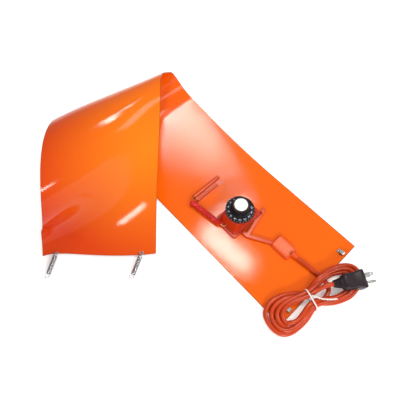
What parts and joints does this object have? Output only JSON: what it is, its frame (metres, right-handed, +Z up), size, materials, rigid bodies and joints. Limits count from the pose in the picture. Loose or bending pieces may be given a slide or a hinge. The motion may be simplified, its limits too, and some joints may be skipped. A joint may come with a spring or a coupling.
{
  "type": "band heater",
  "caption": "Flexible silicone band heater with a dial thermostat, a tied mains lead with plug and closing springs, lying with its free end folded over",
  "frame": {"origin": "on the surface that the band lies on, under the middle of the band's bounding box seen from above", "axes": "+Z up from that surface; +Y from the flat end's side towards the fold; +X to the right of the flap, towards the flat end; the flat end itself runs 20.5 degrees anticlockwise from +Y"},
  "size_m": [0.5277, 0.5323, 0.1799],
  "materials": {
    "band_silicone": "glossy orange silicone with a fine weave",
    "cover_silicone": "satin moulded orange silicone",
    "patch_silicone": "satin moulded silicone, pinkish orange",
    "sleeve_red": "satin red silicone",
    "cord_jacket": "satin red-brown jacket",
    "lead_wire": "matte braid",
    "switch_plastic": "matte moulded",
    "dial_black": "semi-gloss moulded",
    "cap_white": "gloss moulded",
    "plug_dark": "satin moulded, dark purple",
    "tie_white": "matte coated wire",
    "steel": "plated steel",
    "spring_steel": "bright drawn wire",
    "copper": "drawn copper"
  },
  "bodies": {
    "band": {"heating_band": "band_silicone", "thermostat_cover": "cover_silicone", "thermostat_body": "switch_plastic", "thermostat_bracket": "steel", "bracket_screws": "steel", "diaphragm_cup": "copper", "shaft_bushing": "steel", "bushing_nut": "steel", "capillary_tube": "copper", "capillary_sleeve": "sleeve_red", "sensing_bulb": "copper", "sensor_cover": "cover_silicone", "lead_cover": "cover_silicone", "heater_leads": "lead_wire", "cord_patch": "patch_silicone", "power_cord": "cord_jacket", "cord_hank": "cord_jacket", "cord_tail": "cord_jacket", "twist_tie": "tie_white", "plug_body": "plug_dark", "plug_blades": "steel", "ground_pin": "steel", "left_eyelet": "steel", "right_eyelet": "steel", "left_catch": "steel", "right_catch": "steel", "catch_rivets": "steel"},
    "dial": {"temperature_dial": "dial_black", "dial_cap": "cap_white", "control_shaft": "steel"},
    "left_spring": {"left_spring": "spring_steel"},
    "right_spring": {"right_spring": "spring_steel"}
  },
  "joints": [
    {"name": "dial_turn", "type": "hinge", "parent": "band", "child": "dial", "pos_m": [0.09126, -0.05638, 0.04], "axis": [0, 0, 1], "range_deg": [-260, 0]},
    {"name": "left_spring_swing", "type": "hinge", "parent": "band", "child": "left_spring", "pos_m": [-0.23629, 0.00456, 0.0051], "axis": [0, 0, 1], "range_deg": [-12, 38]},
    {"name": "right_spring_swing", "type": "hinge", "parent": "band", "child": "right_spring", "pos_m": [-0.09695, -0.0549, 0.0051], "axis": [0, 0, 1], "range_deg": [-5, 44]}
  ]
}
